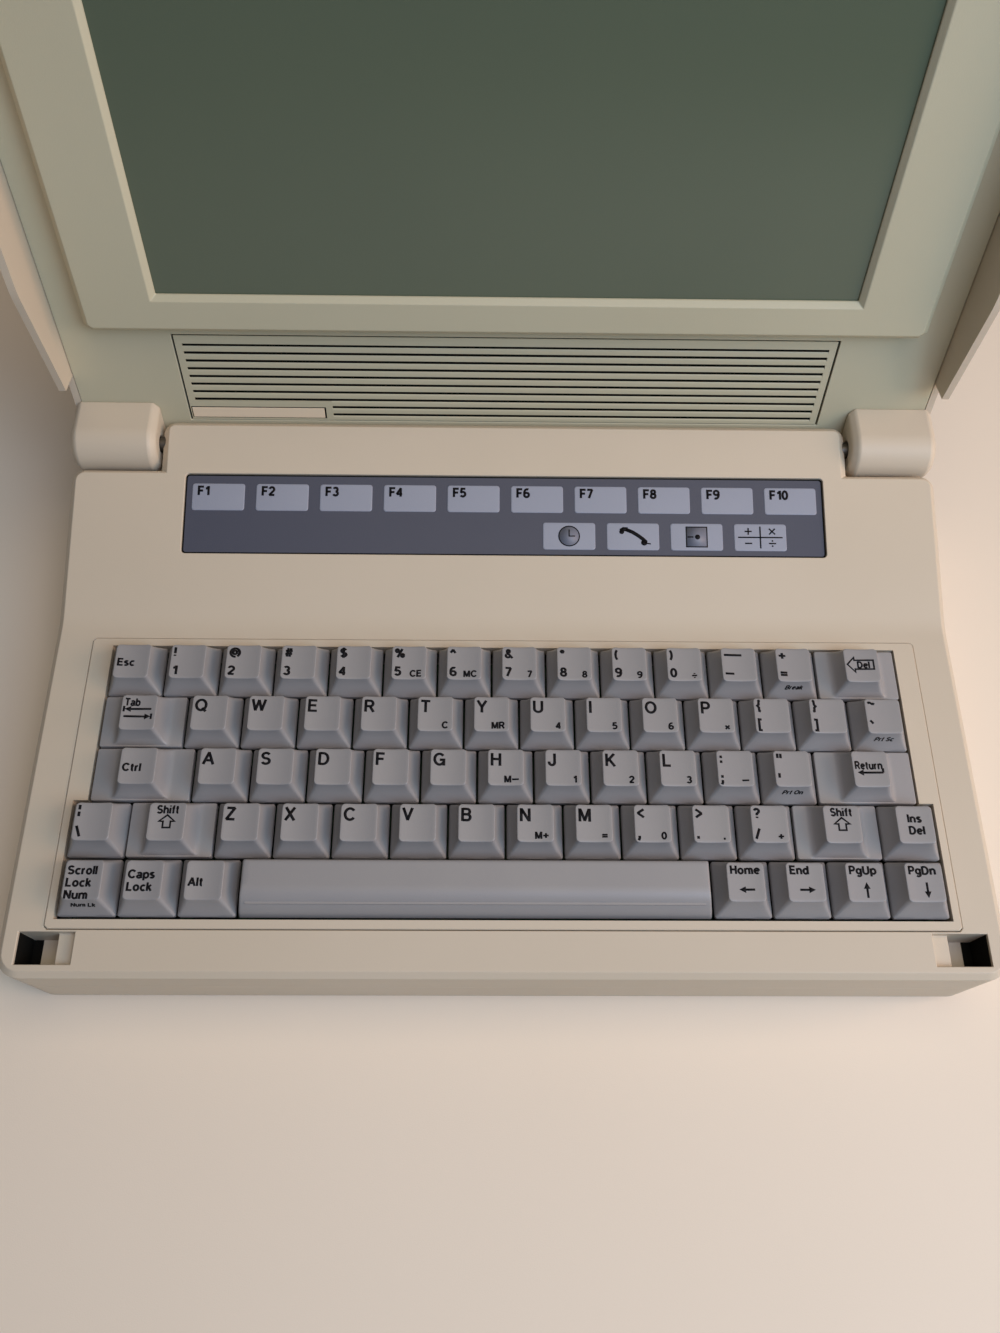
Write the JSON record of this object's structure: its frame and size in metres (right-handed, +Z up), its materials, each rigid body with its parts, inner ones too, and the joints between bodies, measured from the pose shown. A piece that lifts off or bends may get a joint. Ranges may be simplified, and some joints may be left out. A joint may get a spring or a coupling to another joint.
{
  "type": "portable computer",
  "caption": "Clamshell portable computer, open: deck with pressing keys, sloped function panel, round hinge blocks, and a tilting lid with latches, ribs and a display.",
  "frame": {"origin": "middle of the outer box, on the table under the feet, with the lid standing open", "axes": "+X to the user's right along the hinge, +Y to the back, +Z up"},
  "size_m": [0.32, 0.2624, 0.2408],
  "materials": {
    "case": "warm beige, finely textured",
    "lid_inner": "grey-green beige, finely textured",
    "badge": "light beige, bare",
    "panel": "dark slate membrane",
    "pads": "light slate membrane pads",
    "keycap": "light cool grey, satin",
    "black_plastic": "black, satin",
    "circuit_board": "green board",
    "battery_wrap": "wrapped cells",
    "socket_metal": "plated sheet",
    "steel": "zinc plated",
    "rubber": "matte",
    "display": "unlit liquid-crystal display behind a clear sheet"
  },
  "bodies": {
    "base": {"base_lower_shell": "case", "base_upper_shell": "case", "keyboard_bezel": "case", "function_panel": "panel", "function_pads": "pads", "keyboard_plate": "steel", "keyboard_board": "circuit_board", "key_switches": "black_plastic", "main_board": "circuit_board", "battery_pack": "battery_wrap", "rear_connectors": "socket_metal", "rubber_feet": "rubber", "case_screws": "steel", "hinge_pins": "steel"},
    "lid": {"lid_cover": "case", "lid_bezel": "lid_inner", "display_panel": "display", "ribbed_panel": "lid_inner", "badge_plate": "badge", "left_hinge_block": "case", "right_hinge_block": "case"},
    "left_latch": {"left_latch": "case"},
    "right_latch": {"right_latch": "case"},
    "power_switch": {"power_switch": "black_plastic"},
    "key_space": {"key_space": "keycap"},
    "key_return": {"key_return": "keycap"},
    "key_tab": {"key_tab": "keycap"},
    "key_control": {"key_control": "keycap"},
    "key_left_shift": {"key_left_shift": "keycap"},
    "key_right_shift": {"key_right_shift": "keycap"},
    "key_backspace": {"key_backspace": "keycap"},
    "key_q": {"key_q": "keycap"},
    "key_w": {"key_w": "keycap"},
    "key_e": {"key_e": "keycap"},
    "key_r": {"key_r": "keycap"},
    "key_t": {"key_t": "keycap"},
    "key_y": {"key_y": "keycap"},
    "key_u": {"key_u": "keycap"},
    "key_i": {"key_i": "keycap"},
    "key_o": {"key_o": "keycap"},
    "key_p": {"key_p": "keycap"},
    "key_a": {"key_a": "keycap"},
    "key_s": {"key_s": "keycap"},
    "key_d": {"key_d": "keycap"},
    "key_f": {"key_f": "keycap"},
    "key_g": {"key_g": "keycap"},
    "key_h": {"key_h": "keycap"},
    "key_j": {"key_j": "keycap"},
    "key_k": {"key_k": "keycap"},
    "key_l": {"key_l": "keycap"},
    "key_z": {"key_z": "keycap"},
    "key_x": {"key_x": "keycap"},
    "key_c": {"key_c": "keycap"},
    "key_v": {"key_v": "keycap"},
    "key_b": {"key_b": "keycap"},
    "key_n": {"key_n": "keycap"},
    "key_m": {"key_m": "keycap"},
    "number_keys": {"number_keys": "keycap"},
    "symbol_keys": {"symbol_keys": "keycap"},
    "command_keys": {"command_keys": "keycap"}
  },
  "joints": [
    {"name": "lid_hinge", "type": "hinge", "parent": "base", "child": "lid", "pos_m": [0, 0.06184, 0.0515], "axis": [1, 0, 0], "range_deg": [-20, 105]},
    {"name": "left_latch_slide", "type": "slide", "parent": "lid", "child": "left_latch", "axis": [1, 0, 0], "range_m": [0, 0.0035]},
    {"name": "right_latch_slide", "type": "slide", "parent": "lid", "child": "right_latch", "axis": [-1, 0, 0], "range_m": [0, 0.0035]},
    {"name": "power_switch_slide", "type": "slide", "parent": "base", "child": "power_switch", "axis": [0, 1, 0], "range_m": [0, 0.004]},
    {"name": "key_space_press", "type": "slide", "parent": "base", "child": "key_space", "axis": [0, 0, -1], "range_m": [0, 0.0035], "stiffness_N_per_m": 150, "springref_m": -0.002},
    {"name": "key_return_press", "type": "slide", "parent": "base", "child": "key_return", "axis": [0, 0, -1], "range_m": [0, 0.0035], "stiffness_N_per_m": 150, "springref_m": -0.002},
    {"name": "key_tab_press", "type": "slide", "parent": "base", "child": "key_tab", "axis": [0, 0, -1], "range_m": [0, 0.0035], "stiffness_N_per_m": 150, "springref_m": -0.002},
    {"name": "key_control_press", "type": "slide", "parent": "base", "child": "key_control", "axis": [0, 0, -1], "range_m": [0, 0.0035], "stiffness_N_per_m": 150, "springref_m": -0.002},
    {"name": "key_left_shift_press", "type": "slide", "parent": "base", "child": "key_left_shift", "axis": [0, 0, -1], "range_m": [0, 0.0035], "stiffness_N_per_m": 150, "springref_m": -0.002},
    {"name": "key_right_shift_press", "type": "slide", "parent": "base", "child": "key_right_shift", "axis": [0, 0, -1], "range_m": [0, 0.0035], "stiffness_N_per_m": 150, "springref_m": -0.002},
    {"name": "key_backspace_press", "type": "slide", "parent": "base", "child": "key_backspace", "axis": [0, 0, -1], "range_m": [0, 0.0035], "stiffness_N_per_m": 150, "springref_m": -0.002},
    {"name": "key_q_press", "type": "slide", "parent": "base", "child": "key_q", "axis": [0, 0, -1], "range_m": [0, 0.0035], "stiffness_N_per_m": 150, "springref_m": -0.002},
    {"name": "key_w_press", "type": "slide", "parent": "base", "child": "key_w", "axis": [0, 0, -1], "range_m": [0, 0.0035], "stiffness_N_per_m": 150, "springref_m": -0.002},
    {"name": "key_e_press", "type": "slide", "parent": "base", "child": "key_e", "axis": [0, 0, -1], "range_m": [0, 0.0035], "stiffness_N_per_m": 150, "springref_m": -0.002},
    {"name": "key_r_press", "type": "slide", "parent": "base", "child": "key_r", "axis": [0, 0, -1], "range_m": [0, 0.0035], "stiffness_N_per_m": 150, "springref_m": -0.002},
    {"name": "key_t_press", "type": "slide", "parent": "base", "child": "key_t", "axis": [0, 0, -1], "range_m": [0, 0.0035], "stiffness_N_per_m": 150, "springref_m": -0.002},
    {"name": "key_y_press", "type": "slide", "parent": "base", "child": "key_y", "axis": [0, 0, -1], "range_m": [0, 0.0035], "stiffness_N_per_m": 150, "springref_m": -0.002},
    {"name": "key_u_press", "type": "slide", "parent": "base", "child": "key_u", "axis": [0, 0, -1], "range_m": [0, 0.0035], "stiffness_N_per_m": 150, "springref_m": -0.002},
    {"name": "key_i_press", "type": "slide", "parent": "base", "child": "key_i", "axis": [0, 0, -1], "range_m": [0, 0.0035], "stiffness_N_per_m": 150, "springref_m": -0.002},
    {"name": "key_o_press", "type": "slide", "parent": "base", "child": "key_o", "axis": [0, 0, -1], "range_m": [0, 0.0035], "stiffness_N_per_m": 150, "springref_m": -0.002},
    {"name": "key_p_press", "type": "slide", "parent": "base", "child": "key_p", "axis": [0, 0, -1], "range_m": [0, 0.0035], "stiffness_N_per_m": 150, "springref_m": -0.002},
    {"name": "key_a_press", "type": "slide", "parent": "base", "child": "key_a", "axis": [0, 0, -1], "range_m": [0, 0.0035], "stiffness_N_per_m": 150, "springref_m": -0.002},
    {"name": "key_s_press", "type": "slide", "parent": "base", "child": "key_s", "axis": [0, 0, -1], "range_m": [0, 0.0035], "stiffness_N_per_m": 150, "springref_m": -0.002},
    {"name": "key_d_press", "type": "slide", "parent": "base", "child": "key_d", "axis": [0, 0, -1], "range_m": [0, 0.0035], "stiffness_N_per_m": 150, "springref_m": -0.002},
    {"name": "key_f_press", "type": "slide", "parent": "base", "child": "key_f", "axis": [0, 0, -1], "range_m": [0, 0.0035], "stiffness_N_per_m": 150, "springref_m": -0.002},
    {"name": "key_g_press", "type": "slide", "parent": "base", "child": "key_g", "axis": [0, 0, -1], "range_m": [0, 0.0035], "stiffness_N_per_m": 150, "springref_m": -0.002},
    {"name": "key_h_press", "type": "slide", "parent": "base", "child": "key_h", "axis": [0, 0, -1], "range_m": [0, 0.0035], "stiffness_N_per_m": 150, "springref_m": -0.002},
    {"name": "key_j_press", "type": "slide", "parent": "base", "child": "key_j", "axis": [0, 0, -1], "range_m": [0, 0.0035], "stiffness_N_per_m": 150, "springref_m": -0.002},
    {"name": "key_k_press", "type": "slide", "parent": "base", "child": "key_k", "axis": [0, 0, -1], "range_m": [0, 0.0035], "stiffness_N_per_m": 150, "springref_m": -0.002},
    {"name": "key_l_press", "type": "slide", "parent": "base", "child": "key_l", "axis": [0, 0, -1], "range_m": [0, 0.0035], "stiffness_N_per_m": 150, "springref_m": -0.002},
    {"name": "key_z_press", "type": "slide", "parent": "base", "child": "key_z", "axis": [0, 0, -1], "range_m": [0, 0.0035], "stiffness_N_per_m": 150, "springref_m": -0.002},
    {"name": "key_x_press", "type": "slide", "parent": "base", "child": "key_x", "axis": [0, 0, -1], "range_m": [0, 0.0035], "stiffness_N_per_m": 150, "springref_m": -0.002},
    {"name": "key_c_press", "type": "slide", "parent": "base", "child": "key_c", "axis": [0, 0, -1], "range_m": [0, 0.0035], "stiffness_N_per_m": 150, "springref_m": -0.002},
    {"name": "key_v_press", "type": "slide", "parent": "base", "child": "key_v", "axis": [0, 0, -1], "range_m": [0, 0.0035], "stiffness_N_per_m": 150, "springref_m": -0.002},
    {"name": "key_b_press", "type": "slide", "parent": "base", "child": "key_b", "axis": [0, 0, -1], "range_m": [0, 0.0035], "stiffness_N_per_m": 150, "springref_m": -0.002},
    {"name": "key_n_press", "type": "slide", "parent": "base", "child": "key_n", "axis": [0, 0, -1], "range_m": [0, 0.0035], "stiffness_N_per_m": 150, "springref_m": -0.002},
    {"name": "key_m_press", "type": "slide", "parent": "base", "child": "key_m", "axis": [0, 0, -1], "range_m": [0, 0.0035], "stiffness_N_per_m": 150, "springref_m": -0.002},
    {"name": "number_keys_press", "type": "slide", "parent": "base", "child": "number_keys", "axis": [0, 0, -1], "range_m": [0, 0.0035], "stiffness_N_per_m": 1500, "springref_m": -0.002},
    {"name": "symbol_keys_press", "type": "slide", "parent": "base", "child": "symbol_keys", "axis": [0, 0, -1], "range_m": [0, 0.0035], "stiffness_N_per_m": 1500, "springref_m": -0.002},
    {"name": "command_keys_press", "type": "slide", "parent": "base", "child": "command_keys", "axis": [0, 0, -1], "range_m": [0, 0.0035], "stiffness_N_per_m": 1500, "springref_m": -0.002}
  ]
}
